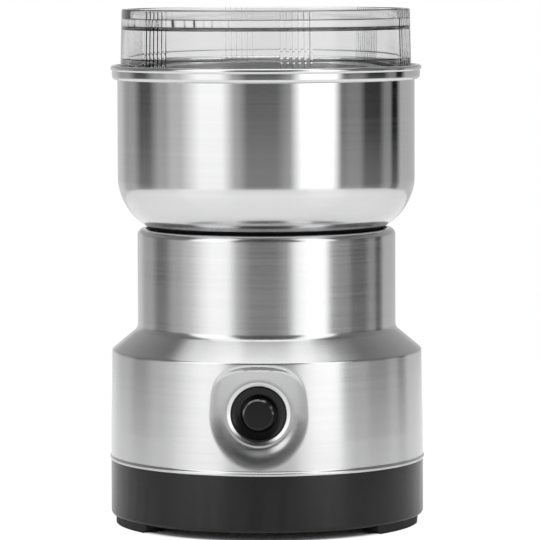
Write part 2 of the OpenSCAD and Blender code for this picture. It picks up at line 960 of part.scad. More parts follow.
module armature_windings() {
    end_r = slot_at + slot_r - 0.3;
    end_in = shaft_r + 1.5;
    end_h = coil_over - 1;
    color("#b5651d")
        union() {
            for (z = [z_stack - end_h, z_stack_top])
                rotate_extrude()
                    polygon(outline([
                        [end_in, z, 1.2], [end_r, z, 1.2], [end_r, z + end_h, 1.2], [end_in, z + end_h, 1.2]
                    ]));
            for (k = [0:slot_count - 1])
                rotate([0, 0, 360 * k / slot_count])
                    translate([slot_at, 0, 0])
                        rod(slot_r - fit, z_stack - over, z_stack_top + over);
            // insulating sleeves that carry the end turns on the shaft
            for (z = [z_stack - end_h, z_stack_top])
                tube(end_in + over, shaft_r + fit / 2, z + 0.5, z + end_h - 0.5);
        }
}

module commutator() {
    color("#b87333")
        difference() {
            union() {
                tube(comm_r, shaft_r + fit / 2, z_comm + 0.3, z_comm + comm_h);
                tube(comm_r + 1.2, shaft_r + fit / 2, z_comm + comm_h - 0.5, z_comm + comm_h + 1);
            }
            for (k = [0:bar_count - 1])
                rotate([0, 0, 360 * (k + 0.5) / bar_count])
                    translate([comm_r - 0.8, -0.25, z_comm])
                        cube([3, 0.5, comm_h + 2]);
        }
}

module cooling_fan() {
    hub_r = shaft_r + 3;
    color("#2f3134")
        difference() {
            union() {
                rod(hub_r, z_fan, z_fan + fan_h);
                rod(fan_r, z_fan, z_fan + 1.2);
                for (k = [0:fan_blades - 1])
                    rotate([0, 0, 360 * k / fan_blades])
                        translate([hub_r - over, 0, z_fan + 1])
                            rotate([0, 0, 24])
                                cube([(fan_r - hub_r) * 0.98, 1, fan_h - 1]);
            }
            rod(shaft_r + fit / 2, z_fan - over, z_fan + fan_h + over);
            difference() {
                rod(2 * fan_r, z_fan - over, z_fan + fan_h + over);
                rod(fan_r, z_fan - 2 * over, z_fan + fan_h + 2 * over);
            }
        }
}

// ---- Bearings and brackets ----

module upper_bearing() {
    ring_in = shaft_r + bearing_ring_t;
    ring_out = bearing_r - bearing_ring_t;
    top = z_bearing + bearing_t;
    color("#c0c2c5")
        rotate_extrude()
            polygon(outline([
                [shaft_r + run_gap, z_bearing, 0.4], [ring_in, z_bearing, 0],
                [ring_in, z_bearing + shield_in, 0], [ring_out, z_bearing + shield_in, 0],
                [ring_out, z_bearing, 0], [bearing_r, z_bearing, 0.4],
                [bearing_r, top, 0.4], [ring_out, top, 0],
                [ring_out, top - shield_in, 0], [ring_in, top - shield_in, 0],
                [ring_in, top, 0], [shaft_r + run_gap, top, 0.4]
            ]));
}

module lower_bearing() {
    color("#b08d57")
        tube(lower_bearing_r, journal_r + run_gap, z_lower_hub + 1.8, z_lower_hub + 1.8 + lower_bearing_t);
}

// Arms from the hub to the four screws
module bracket_arms(z) {
    translate([0, 0, z])
        linear_extrude(plate_t)
            for (s = [-1, 1])
                rotate(s * atan(screw_y / screw_x))
                    square([2 * norm([screw_x, screw_y]), 2 * motor_post_r - 1.2], center = true);
}

module upper_bracket() {
    hub_r = bearing_r + bearing_wall;
    color("#9fa2a6")
        difference() {
            union() {
                bracket_arms(z_upper_plate);
                at(corners)
                    rod(motor_post_r, z_stack_top, z_motor_top);
                rod(hub_r, z_upper_plate, z_motor_top + bearing_rise);
            }
            rod(bearing_r + fit / 2, z_bearing, z_motor_top + bearing_rise + over);
            rod(shaft_r + 1, z_upper_plate - over, z_bearing + over);
            at(corners)
                rod(motor_screw_r + fit, z_stack_top - over, z_motor_top + over);
        }
}

module lower_bracket() {
    hub_r = lower_bearing_r + bearing_wall;
    color("#9fa2a6")
        difference() {
            union() {
                bracket_arms(z_lower_plate);
                at(corners)
                    rod(motor_post_r, z_lower_plate, z_stack);
                rod(hub_r, z_lower_hub, z_comm - 0.8);
                // bar under the brush holders
                translate([-holder_in - holder_l, -bar_w / 2, z_lower_plate])
                    cube([2 * (holder_in + holder_l), bar_w, plate_t]);
            }
            rod(lower_bearing_r + fit / 2, z_lower_hub + 1.8, z_comm + over);
            rod(journal_r + 0.5, z_lower_hub + 1, z_comm + over);
            at(corners)
                rod(motor_screw_r + fit, z_lower_plate - over, z_stack + over);
        }
}

// ---- Stator ----

module stator_core() {
    color("#5f6165")
        translate([0, 0, z_stack])
            linear_extrude(stack_h)
                difference() {
                    plate(stator_x, stator_y, 5);
                    circle(r = bore_r);
                    for (sx = [-1, 1], sy = [-1, 1])
                        quarter(sx, sy) {
                            translate([window_x0, window_y0])
                                square([window_x1 - window_x0, window_y1 - window_y0]);
                            translate([window_x1 - 1.5, 0.4 * window_y0])
                                square([1.5, window_y0]);
                        }
                    for (c = corners)
                        translate(c)
                            circle(r = motor_screw_r + fit, $fn = 32);
                }
}

// Mirrors children into one quarter of the plan
module quarter(sx, sy) {
    mirror([sx < 0 ? 1 : 0, 0])
        mirror([0, sy < 0 ? 1 : 0])
            children();
}

module field_coils() {
    gap = 0.3;
    x1 = window_x1 - gap;
    x0 = window_x0 + gap;
    color("#c06a2b")
        for (s = [0, 180])
            rotate([0, 0, s])
                translate([0, window_y1 - gap, z_stack - coil_over])
                    rotate([90, 0, 0])
                        linear_extrude(window_y1 - window_y0 - 2 * gap)
                            difference() {
                                translate([0, coil_over + stack_h / 2])
                                    plate(2 * x1, stack_h + 2 * coil_over, 3);
                                translate([0, coil_over + stack_h / 2])
                                    plate(2 * x0, stack_h + 2 * gap, 0.5);
                            }
}

module motor_screws() {
    color("#8b8d90")
        at(corners) {
            rod(motor_screw_r, z_lower_plate - over, z_deck_top - 1.6);
            rod(motor_screw_r + 1.5, z_lower_plate - 2, z_lower_plate);
        }
}

// ---- Brush gear ----

// Places children drawn along X on both sides of the commutator
module both_sides() {
    for (s = [0, 180])
        rotate([0, 0, s])
            translate([0, 0, z_brush])
                children();
}

module brush_holders() {
    inner_y = brush_x + 2 * fit;
    inner_z = brush_h + 2 * fit;
    outer_y = inner_y + 2 * holder_wall;
    color("#b5a642")
        both_sides()
            difference() {
                translate([holder_in, -outer_y / 2, -comm_h / 2])
                    cube([holder_l, outer_y, comm_h / 2 + inner_z / 2 + holder_wall]);
                translate([holder_in - over, -inner_y / 2, -inner_z / 2])
                    cube([holder_l - holder_wall + over, inner_y, inner_z]);
            }
}

module carbon_brushes() {
    color("#2a2a2a")
        both_sides()
            translate([brush_in, -brush_x / 2, -brush_h / 2])
                cube([brush_l, brush_x, brush_h]);
}

module brush_springs() {
    start = brush_in + brush_l;
    color("#a7a9ac")
        both_sides()
            translate([start, 0, 0])
                rotate([0, 90, 0])
                    coil(brush_spring_r, brush_spring_wire, holder_in + holder_l - holder_wall - start, 7);
}

// ---- Button and switch ----

module button_bezel() {
    front = dish_u + bezel_rise;
    color("#262628")
        at_button()
            difference() {
                union() {
                    rotate_extrude()
                        polygon(outline([
                            [cap_bore_r, bezel_back, 0], [bezel_flange_r, bezel_back, 0],
                            [bezel_flange_r, dish_u - shell_t, 0], [bezel_r, dish_u - shell_t, 0],
                            [bezel_r, front, 0.3], [bezel_r - 0.7, front, 0],
                            [cap_bore_r + 1.2, front - 1.1, 2], [cap_bore_r, front - 1.1, 0]
                        ]));
                    // arms that clip the bezel to the switch
                    for (s = [-1, 1])
                        translate([s * (collar_r + 0.6 + 0.8) - 0.8, -4, switch_front])
                            cube([1.6, 8, bezel_back - switch_front + 0.5]);
                }
                rod(cap_bore_r, bezel_back - over, front + over);
            }
}

module button_cap() {
    color("#202022")
        at_button()
            rotate_extrude()
                polygon(outline([
                    [0, stem_back, 0], [stem_r, stem_back, 0], [stem_r, collar_back, 0],
                    [collar_r, collar_back, 0.2], [collar_r, collar_front, 0.2], [cap_r, collar_front, 0],
                    [cap_r, dish_u + cap_rise, 0.8], [0, dish_u + cap_rise - 0.15, 0]
                ]));
}

module button_spring() {
    color("#b4b6b8")
        at_button()
            translate([0, 0, switch_front])
                coil(spring_r, spring_wire, spring_l, 4);
}

module switch_body() {
    color("#34363a")
        at_button()
            difference() {
                translate([0, 0, switch_back])
                    linear_extrude(switch_d)
                        plate(switch_w, switch_h, 1.5);
                rod(plunger_r + 0.08, switch_front - plunger_in - press - 0.5, switch_front + over);
            }
}

module switch_plunger() {
    color("#e8e4da")
        at_button()
            rod(plunger_r, switch_front - plunger_in, stem_back);
}

module switch_terminals() {
    color("#c9b458")
        for (s = [-1, 1])
            translate([s * 5 - 2.4, -switch_back - switch_d / 2 - 0.4, z_button - switch_h / 2 - 6.5])
                difference() {
                    cube([4.8, 0.8, 6.5]);
                    translate([2.4, -over, 2.4])
                        rotate([-90, 0, 0])
                            cylinder(r = 0.8, h = 0.8 + 2 * over, $fn = 24);
                }
}

feet();
base();
base_screws();
cord_bush();
cord_clamp();
clamp_screws();
capacitor();
outer_shell();
neck_seal();
motor_frame();
bowl_gasket();
bowl();
shaft_hub();
hub_nut();
shaft_seal();
lid();
blade();
blade_washer();
blade_nut();
motor_shaft();
armature_core();
armature_windings();
commutator();
cooling_fan();
upper_bearing();
lower_bearing();
upper_bracket();
lower_bracket();
stator_core();
field_coils();
motor_screws();
brush_holders();
carbon_brushes();
brush_springs();
button_bezel();
button_cap();
button_spring();
switch_body();
switch_plunger();
switch_terminals();
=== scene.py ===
import json
import math

import bpy
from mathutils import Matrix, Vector


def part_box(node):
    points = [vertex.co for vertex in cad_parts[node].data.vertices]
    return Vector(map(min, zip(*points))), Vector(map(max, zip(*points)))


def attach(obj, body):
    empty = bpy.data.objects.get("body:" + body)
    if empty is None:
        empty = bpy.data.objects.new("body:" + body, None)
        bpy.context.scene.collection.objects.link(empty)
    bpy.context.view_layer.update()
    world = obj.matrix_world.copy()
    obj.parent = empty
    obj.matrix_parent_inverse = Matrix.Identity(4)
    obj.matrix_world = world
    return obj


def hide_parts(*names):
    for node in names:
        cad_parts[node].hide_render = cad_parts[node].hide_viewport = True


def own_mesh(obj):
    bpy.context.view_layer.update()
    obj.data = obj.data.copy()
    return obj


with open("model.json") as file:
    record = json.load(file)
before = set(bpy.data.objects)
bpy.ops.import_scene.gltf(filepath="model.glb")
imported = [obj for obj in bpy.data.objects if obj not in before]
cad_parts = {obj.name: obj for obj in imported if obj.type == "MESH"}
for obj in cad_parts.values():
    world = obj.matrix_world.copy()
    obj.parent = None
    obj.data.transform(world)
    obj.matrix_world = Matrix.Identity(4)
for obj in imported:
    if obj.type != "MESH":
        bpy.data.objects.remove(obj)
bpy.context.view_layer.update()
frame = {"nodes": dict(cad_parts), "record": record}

bl_info = {
    "name": "Electric spice grinder",
    "version": (1, 0, 0),
    "blender": (4, 5, 0),
    "location": "View3D > Sidebar > Grinder",
    "description": "Pieces, finishes and small studio of an electric spice grinder",
    "category": "Object",
}

MM = 0.001
NODES = frame["nodes"]

# Where the button faces, in degrees round the axis from +X
FRONT = -90.0

# Vertices closer than this are one
SAME_PLACE = 1e-6


# ---- Sizes, colours and light that a user would change ----

def height(node, end):
    """Lowest (0) or highest (1) point of a node."""
    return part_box(node)[end].z


def reach(node):
    """Largest distance of a node from the axis, along X."""
    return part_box(node)[1].x


def button_height():
    return (height("button_bezel", 0) + height("button_bezel", 1)) / 2


def length(name, about, default):
    return bpy.props.FloatProperty(name=name, description=about, default=default, min=0.0, unit="LENGTH")


def angle(name, about, degrees):
    return bpy.props.FloatProperty(
        name=name, description=about, default=math.radians(degrees), subtype="ANGLE")


def colour(name, about, default):
    return bpy.props.FloatVectorProperty(
        name=name, description=about, default=default, size=3, min=0.0, max=1.0, subtype="COLOR")


class GrinderSizes(bpy.types.PropertyGroup):
    """Sizes of the pieces that are modelled here."""
    body_radius: length("Body radius", "Radius of the straight lower body", 49.85 * MM)
    body_taper: length("Body taper", "How much narrower the body is at its shoulder", 0.45 * MM)
    shoulder: length("Shoulder", "Height of the shoulder's edge above the hem", 35 * MM)
    neck: length("Neck foot", "Height of the neck's foot above the hem", 41.9 * MM)
    neck_radius: length("Neck radius", "Radius of the neck under the bowl", 41.15 * MM)
    neck_gap: length("Neck gap", "How far the neck stays under its solid, for the dark gap", 0.7 * MM)
    sheet: length("Sheet", "Thickness of the steel sheet", 0.8 * MM)
    bowl_radius: length("Bowl radius", "Radius of the bowl's straight wall", 47.3 * MM)
    bowl_wall: length("Bowl wall", "Height of the bowl up to its step", 49.9 * MM)
    dish_radius: length("Dish radius", "Half the width of the button's dish", 14.6 * MM)
    dish_floor: length("Dish floor", "Distance of the dish's floor from the axis", 47.3 * MM)
    bezel_radius: length("Bezel radius", "Radius of the ring round the button", 8.55 * MM)
    cap_radius: length("Button radius", "Radius of the button's face", 4.9 * MM)
    cap_gap: length("Button gap", "Gap between the button and its ring", 0.65 * MM)
    cap_rise: length("Button rise", "How far the button stands out of its ring", 2.7 * MM)
    travel: length("Button travel", "How far the button goes in", 2.5 * MM)
    lid_wall: length("Lid wall", "Thickness of the lid's wall", 2.2 * MM)
    lid_recess: length("Lid recess", "Depth of the lid's plate under its rim", 3.3 * MM)
    rib_height: length("Grip ribs", "How far the lid's ribs stand out", 0.35 * MM)
    foot_reach: length("Foot reach", "Radius of the feet's outer wall", 48.45 * MM)
    foot_width: length("Foot width", "Radial width of each foot", 5.5 * MM)


class GrinderColours(bpy.types.PropertyGroup):
    """Colours of the finishes."""
    steel: colour("Steel", "Brushed stainless steel", (0.62, 0.62, 0.625))
    black: colour("Black plastic", "Moulded base and button", (0.0024, 0.0024, 0.0027))
    rubber: colour("Rubber", "Feet, seals and bush", (0.0085, 0.0085, 0.009))
    clear: colour("Clear plastic", "Lid", (0.995, 0.997, 0.998))
    copper: colour("Copper", "Windings", (0.56, 0.24, 0.10))


class GrinderStudio(bpy.types.PropertyGroup):
    """Camera and light."""
    distance: length("Camera distance", "From the grinder's axis", 1237 * MM)
    eye: length("Camera height", "Above the floor", 179 * MM)
    aim: length("Aim height", "Height that the camera looks at", 80.4 * MM)
    aside: length("Aim offset", "How far to the axis's right the camera looks", 1.1 * MM)
    azimuth: angle("Camera azimuth", "Turn of the camera from the front towards +X", 3.2)
    roll: angle("Camera roll", "Turn of the camera about its line of sight", -0.2)
    lens: bpy.props.FloatProperty(
        name="Lens", description="Focal length in millimetres", default=258.9, min=50.0)
    floor: length("Floor radius", "Radius of the pale floor", 0.5)
    daylight: bpy.props.FloatProperty(
        name="Daylight", description="Level of the even light from all round", default=0.8, min=0.0)


def sizes():
    return bpy.context.scene.grinder_sizes


def colours():
    return bpy.context.scene.grinder_colours


# ---- Modelling by hand: draw, round, turn, select, finish ----

def nothing_selected():
    if bpy.context.object and bpy.context.object.mode != "OBJECT":
        bpy.ops.object.mode_set(mode="OBJECT")
    bpy.ops.object.select_all(action="DESELECT")


def only(piece):
    nothing_selected()
    piece.select_set(True)
    bpy.context.view_layer.objects.active = piece


def select(piece, kind, test):
    """Leave edit mode's selection on the vertices, edges or polygons that pass a test."""
    bpy.ops.object.mode_set(mode="OBJECT")
    mesh = piece.data
    for group in (mesh.vertices, mesh.edges, mesh.polygons):
        group.foreach_set("select", [False] * len(group))
    chosen = [item for item in getattr(mesh, kind) if test(item)]
    if not chosen:
        raise RuntimeError(f"{piece.name}: nothing to select among its {kind}")
    for item in chosen:
        item.select = True
    bpy.context.tool_settings.mesh_select_mode = [kind == k for k in ("vertices", "edges", "polygons")]
    bpy.ops.object.mode_set(mode="EDIT")


def edit_all():
    """Open the active piece in edit mode with all of it selected."""
    bpy.context.tool_settings.mesh_select_mode = (True, False, False)
    bpy.ops.object.mode_set(mode="EDIT")
    bpy.ops.mesh.select_all(action="SELECT")


def drawn(name, corners, closed=False, step=9.0):
    """Extrude one vertex through corners (radius, height, rounding) in metres, then round them.

    A rounding gets one segment for each step of degrees that it turns through.
    """
    nothing_selected()
    points = [Vector((x, 0, z)) for x, z, _ in corners]
    bpy.ops.mesh.primitive_plane_add(size=MM, location=points[0])
    piece = bpy.context.object
    piece.name = piece.data.name = name
    bpy.ops.object.transform_apply(location=True, rotation=False, scale=False)
    edit_all()
    bpy.ops.mesh.merge(type="CENTER")
    for a, b in zip(points, points[1:] + points[:1] * closed):
        bpy.ops.mesh.extrude_vertices_move(TRANSFORM_OT_translate={"value": b - a})
    bpy.ops.mesh.select_all(action="SELECT")
    bpy.ops.mesh.remove_doubles(threshold=SAME_PLACE)
    for i, spot in enumerate(points):
        rounding = corners[i][2]
        if rounding:
            bend = (spot - points[i - 1]).angle(points[(i + 1) % len(points)] - spot)
            select(piece, "vertices", lambda v: (v.co - spot).length < 2 * SAME_PLACE)
            bpy.ops.mesh.bevel(
                offset=rounding * math.tan(bend / 2), offset_type="OFFSET",
                segments=max(3, math.ceil(math.degrees(bend) / step)), affect="VERTICES")
    bpy.ops.object.mode_set(mode="OBJECT")
    return piece


def divided(piece, low, high, spacing):
    """Cut the drawn line's edges between two heights to a spacing."""
    def parts(edge):
        """How many parts an edge gets, or none outside the two heights."""
        a, b = (piece.data.vertices[i].co for i in edge.vertices)
        inside = low <= min(a.z, b.z) and max(a.z, b.z) <= high
        return max(1, math.ceil((a - b).length / spacing)) if inside else 0

    for count in sorted({parts(e) for e in piece.data.edges}, reverse=True):
        if count > 1:
            select(piece, "edges", lambda e: parts(e) == count)
            bpy.ops.mesh.subdivide(number_cuts=count - 1)
            bpy.ops.object.mode_set(mode="OBJECT")


def outward(piece):
    """Make the normals agree and point away from the axis."""
    edit_all()
    bpy.ops.mesh.remove_doubles(threshold=SAME_PLACE)
    bpy.ops.mesh.normals_make_consistent(inside=False)
    bpy.ops.object.mode_set(mode="OBJECT")
    level = Vector((1, 1, 0))
    if sum(p.area * p.normal.dot(p.center * level) for p in piece.data.polygons) < 0:
        edit_all()
        bpy.ops.mesh.flip_normals()
        bpy.ops.object.mode_set(mode="OBJECT")


def spun(piece, stretches):
    """Turn the drawn line about Z in stretches of (degrees, steps)."""
    edit_all()
    for degrees, steps in stretches:
        bpy.ops.mesh.spin(steps=steps, angle=math.radians(degrees), center=(0, 0, 0), axis=(0, 0, 1))
    bpy.ops.object.mode_set(mode="OBJECT")
    outward(piece)
    return piece


def turned(name, corners, steps, closed=True, step=9.0):
    return spun(drawn(name, corners, closed, step), [(360, steps)])


def modified(piece, kind, **settings):
    only(piece)
    modifier = piece.modifiers.new("shape", kind)
    for key, value in settings.items():
        setattr(modifier, key, value)
    bpy.ops.object.modifier_apply(modifier=modifier.name)


def placed(piece, turn=(0, 0, 0), at=(0, 0, 0)):
    """Turn and move a piece, and put the move into its mesh."""
    only(piece)
    piece.rotation_euler = [math.radians(degrees) for degrees in turn]
    piece.location = at
    bpy.ops.object.transform_apply(location=True, rotation=True, scale=True)


def smooth(piece, sharp=35):
    """Smooth shading, apart from edges that bend by more degrees than sharp."""
    only(piece)
    bpy.ops.object.shade_smooth_by_angle(angle=math.radians(sharp))
    return piece


def refined(node, name):
    """A merged and smoothed copy of a solid, in its own shape."""
    piece = bpy.data.objects.new(name, NODES[node].data.copy())
    piece.data.name = name
    bpy.context.scene.collection.objects.link(piece)
    only(piece)
    edit_all()
    bpy.ops.mesh.remove_doubles(threshold=2 * SAME_PLACE)
    bpy.ops.mesh.dissolve_limited(angle_limit=math.radians(0.3))
    bpy.ops.object.mode_set(mode="OBJECT")
    return smooth(piece, 30)


def seated(piece, body, slot, node):
    """Give a piece its finish and its body, and hide the node that it stands for."""
    piece.data.materials.clear()
    piece.data.materials.append(finishes()[slot])
    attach(piece, body)
    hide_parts(node)
    return {"FINISHED"}


def inner_side(line, thickness):
    """The other side of a sheet whose drawn side is a line of corners, thickness to its left."""
    points = [Vector((x, z)) for x, z, _ in line]
    last = len(points) - 1

    def left(a, b):
        run = (b - a).normalized()
        return Vector((-run.y, run.x))

    side = []
    for i, (_, _, rounding) in enumerate(line):
        a = left(points[max(i, 1) - 1], points[max(i, 1)])
        b = left(points[min(i, last - 1)], points[min(i, last - 1) + 1])
        turn = a.x * b.y - a.y * b.x
        p = points[i] + thickness * (a + b) / (1 + a.dot(b))
        side.append((p.x, p.y, max(0, rounding - math.copysign(thickness, turn)) if rounding else 0))
    return side


# ---- Finishes ----

class Signal:
    """A number on a node's socket, so that sums of masks read as sums."""

    def __init__(self, finish, socket):
        self.finish = finish
        self.socket = socket

    def math(self, operation, *values):
        return self.finish.node("ShaderNodeMath", {"operation": operation}, dict(enumerate(values)))

    def __add__(self, other):
        return self.math("ADD", self, other)

    def __sub__(self, other):
        return self.math("SUBTRACT", self, other)

    def __rsub__(self, other):
        return self.math("SUBTRACT", other, self)

    def __mul__(self, other):
        return self.math("MULTIPLY", self, other)

    def __neg__(self):
        return self.math("MULTIPLY", self, -1.0)

    def __abs__(self):
        return self.math("ABSOLUTE", self)

    __radd__ = __add__
    __rmul__ = __mul__

    def hypot(self, other):
        return self.math("SQRT", self * self + other * other)


class Finish:
    """Node tree of one material or of the world."""

    def __init__(self, owner):
        owner.use_nodes = True
        self.owner = owner
        self.tree = owner.node_tree
        self.tree.nodes.clear()

    def node(self, kind, settings=None, inputs=None, output=0):
        made = self.tree.nodes.new(kind)
        for key, value in (settings or {}).items():
            setattr(made, key, value)
        for key, value in (inputs or {}).items():
            if isinstance(value, Signal):
                self.tree.links.new(value.socket, made.inputs[key])
            else:
                made.inputs[key].default_value = value
        return Signal(self, made.outputs[output]) if len(made.outputs) else None

    def axes(self, kind="Object"):
        """X, Y and Z of the object's or the sky's coordinates."""
        spot = self.node("ShaderNodeTexCoord", output=kind)
        parts = self.tree.nodes.new("ShaderNodeSeparateXYZ")
        self.tree.links.new(spot.socket, parts.inputs[0])
        return [Signal(self, out) for out in parts.outputs]

    def rays(self, *kinds):
        """1 for a ray of each kind, such as Camera, and 0 for the others."""
        path = self.tree.nodes.new("ShaderNodeLightPath")
        return [Signal(self, path.outputs[f"Is {kind} Ray"]) for kind in kinds]

    def place(self, scale=(1, 1, 1)):
        """Object coordinates, stretched."""
        spot = self.node("ShaderNodeTexCoord", output="Object")
        return self.node("ShaderNodeMapping", inputs={"Vector": spot, "Scale": scale})

    def noise(self, scale, detail, rough=0.55):
        """Spots, scale of them to a metre, along each axis or all."""
        stretch = scale if isinstance(scale, tuple) else (scale, scale, scale)
        return self.node("ShaderNodeTexNoise", inputs={
            "Vector": self.place(stretch), "Scale": 1.0, "Detail": detail, "Roughness": rough})

    def stripes(self, axis, scale, warp, detail):
        """Waves across one axis."""
        return self.node("ShaderNodeTexWave", {"wave_type": "BANDS", "bands_direction": axis}, {
            "Vector": self.place(), "Scale": scale, "Distortion": warp, "Detail": detail}, output="Fac")

    def step(self, value, start, end):
        """Smooth step from 0 at start to 1 at end."""
        return self.node(
            "ShaderNodeMapRange", {"interpolation_type": "SMOOTHSTEP"}, {0: value, 1: start, 2: end})

    def ramp(self, value, stops):
        """Level read off a line of (degrees, level) from -180 to 180, at a value from 0 to 1."""
        made = self.tree.nodes.new("ShaderNodeValToRGB")
        self.tree.links.new(value.socket, made.inputs[0])
        spots = [(degrees + 180) / 360 for degrees, _ in stops]
        elements = made.color_ramp.elements
        elements[0].position, elements[1].position = spots[0], spots[-1]
        middle = [elements.new(spot) for spot in spots[1:-1]]
        for element, (_, light) in zip([elements[0], *middle, elements[len(stops) - 1]], stops):
            element.color = (light, light, light, 1)
        return Signal(self, made.outputs[0])

    def mix(self, mask, dark, light):
        return self.node("ShaderNodeMix", {"data_type": "RGBA"}, {0: mask, 6: dark, 7: light}, output=2)

    def blend(self, mask, dark, light):
        """Mix of two plain colours."""
        return self.mix(mask, (*dark, 1), (*light, 1))

    def bump(self, grain, depth, strength):
        return self.node("ShaderNodeBump", inputs={"Height": grain, "Distance": depth, "Strength": strength})

    def surface(self, **inputs):
        named = {key.replace("_", " "): value for key, value in inputs.items()}
        shader = self.node("ShaderNodeBsdfPrincipled", inputs=named)
        self.node("ShaderNodeOutputMaterial", inputs={"Surface": shader})
        return self.owner


# Turn that lays a highlight along the axis
ALONG_AXIS = 0.25

# Grey of a black edge: rubbed wear, and a painted highlight where light from above catches the edge
WORN_AND_LIT_EDGE = (0.16, 0.16, 0.16, 1)


def shade(tint, factor):
    return tuple(min(1.0, c * factor) for c in tint)


def brushed_steel(name, tint, rough, satin_and_lit_from=None):
    """Steel brushed round its axis: fine lines, and a wide highlight along the axis.

    The last argument is the radius and lowest height of a cup's wall whose inner side is left satin, and
    whose colour there is painted lighter as painted light.
    """
    f = Finish(bpy.data.materials.new(name))
    satin_and_lit = 0.0
    if satin_and_lit_from:
        radius, low = satin_and_lit_from
        x, y, z = f.axes()
        inside = 1 - f.step(x.hypot(y), radius - 0.6 * MM, radius - 0.2 * MM)
        satin_and_lit = inside * f.step(z, low, low + 4 * MM)
    lines = f.noise((10, 10, 1700), 4.0, 0.75)
    bands = f.noise((5, 5, 420), 2.0)
    clouds = f.noise(28, 3.0)
    # Inside the cup the colour is painted lighter, as painted light; the added roughness there is a real
    # satin finish
    return f.surface(
        Base_Color=f.blend(lines * 0.6 + bands * 0.4 + satin_and_lit * 3.0, shade(tint, 0.92), shade(tint, 1.08)),
        Metallic=1.0, Roughness=lines * 0.12 + clouds * 0.06 + satin_and_lit * 0.35 + (rough - 0.09),
        Anisotropic=0.8, Anisotropic_Rotation=ALONG_AXIS, Normal=f.bump(lines, 0.00001, 0.08))


def machined_metal(name, tint, rough, grain):
    """Metal with turning marks round its axis; grain is how many there are to a metre."""
    f = Finish(bpy.data.materials.new(name))
    marks = f.noise((60, 60, grain), 3.0)
    spots = f.noise(160, 2.0)
    return f.surface(
        Base_Color=f.blend(marks, shade(tint, 0.82), shade(tint, 1.12)), Metallic=1.0,
        Roughness=marks * 0.14 + spots * 0.08 + (rough - 0.11), Normal=f.bump(marks, 0.00003, 0.4))


def moulded(name, tint, rough, grain=2600, depth=0.00002, stretch=0.0, shine=0.5, rubbed_and_lit=None):
    """Moulded plastic with a fine satin grain, and a highlight stretched along the axis.

    The last argument is the height and radius of a button on the front, whose upper edge is painted lighter:
    partly wear, partly a painted highlight.
    """
    f = Finish(bpy.data.materials.new(name))
    grains = f.noise(grain, 2.0)
    sheen = f.noise(45, 3.0)
    tone = f.blend(sheen, shade(tint, 0.86), shade(tint, 1.14))
    if rubbed_and_lit:
        middle, radius = rubbed_and_lit
        x, _, z = f.axes()
        up = z - middle
        out = x.hypot(up)
        band = (f.step(out, radius - 0.75 * MM, radius - 0.4 * MM)
                * f.step(out, radius + 0.1 * MM, radius - 0.1 * MM))
        # Lighter only along the upper edge: a painted highlight where the light from above falls, broken up
        # by noise as wear
        wear_and_highlight = band * f.step(up, -1 * MM, 1.5 * MM) * f.step(f.noise(420, 2.0), 0.36, 0.58)
        tone = f.mix(wear_and_highlight, tone, WORN_AND_LIT_EDGE)
    return f.surface(
        Base_Color=tone, Roughness=grains * 0.08 + sheen * 0.06 + (rough - 0.07), Specular_IOR_Level=shine,
        Anisotropic=stretch, Anisotropic_Rotation=ALONG_AXIS, Normal=f.bump(grains, depth, 0.5))


def soft_rubber(name, tint):
    """Matt rubber or carbon with a little dust."""
    f = Finish(bpy.data.materials.new(name))
    grains = f.noise(1900, 3.0)
    dust = f.noise(90, 4.0)
    return f.surface(
        Base_Color=f.blend(dust, shade(tint, 0.8), shade(tint, 1.5)),
        Roughness=grains * 0.14 + 0.55, Specular_IOR_Level=0.35, Normal=f.bump(grains, 0.00004, 0.5))


def clear_plastic(name, tint):
    """Clear plastic with hair scratches and a faint haze."""
    f = Finish(bpy.data.materials.new(name))
    haze = f.noise(70, 4.0)
    scratches = f.noise((9, 320, 40), 4.0, 0.7)
    return f.surface(
        Base_Color=f.blend(haze, shade(tint, 0.985), shade(tint, 1.03)),
        Roughness=haze * 0.03 + scratches * 0.03 + 0.005, IOR=1.49, Transmission_Weight=1.0,
        Normal=f.bump(scratches, 0.000004, 0.3))


def wound_copper(name, tint):
    """Varnished turns of copper wire."""
    f = Finish(bpy.data.materials.new(name))
    turns = f.stripes("Y", 480.0, 1.5, 2.0)
    varnish = f.noise(120, 3.0)
    return f.surface(
        Base_Color=f.blend(turns * 0.7 + varnish * 0.3, shade(tint, 0.45), shade(tint, 1.2)), Metallic=0.9,
        Roughness=varnish * 0.2 + 0.25, Normal=f.bump(turns, 0.00012, 0.8))


def stacked_plates(name, tint):
    """Edges of stacked electrical steel."""
    f = Finish(bpy.data.materials.new(name))
    plates = f.stripes("Z", 320.0, 0.2, 1.0)
    stain = f.noise(90, 4.0)
    return f.surface(
        Base_Color=f.blend(plates * 0.5 + stain * 0.5, shade(tint, 0.6), shade(tint, 1.2)), Metallic=0.85,
        Roughness=stain * 0.2 + 0.36, Normal=f.bump(plates, 0.00006, 0.6))


# Plastics inside, as colour and roughness
INNER_PLASTICS = {
    "frame_plastic": ((0.05, 0.052, 0.058), 0.5),
    "plunger_plastic": ((0.78, 0.75, 0.68), 0.4),
    "capacitor_case": ((0.62, 0.42, 0.03), 0.4),
}

# Metals inside, as colour, roughness and grain of the turning marks
INNER_METALS = {
    "screw_steel": ((0.52, 0.53, 0.54), 0.3, 900),
    "blade_steel": ((0.62, 0.62, 0.63), 0.22, 1400),
    "shaft_steel": ((0.50, 0.51, 0.52), 0.25, 900),
    "spring_steel": ((0.46, 0.47, 0.49), 0.3, 900),
    "bracket_alloy": ((0.42, 0.43, 0.45), 0.5, 300),
    "bronze_bearing": ((0.50, 0.33, 0.16), 0.45, 900),
    "terminal_brass": ((0.62, 0.47, 0.18), 0.3, 900),
    "commutator_copper": ((0.62, 0.28, 0.14), 0.3, 200),
}

FINISHES = {}


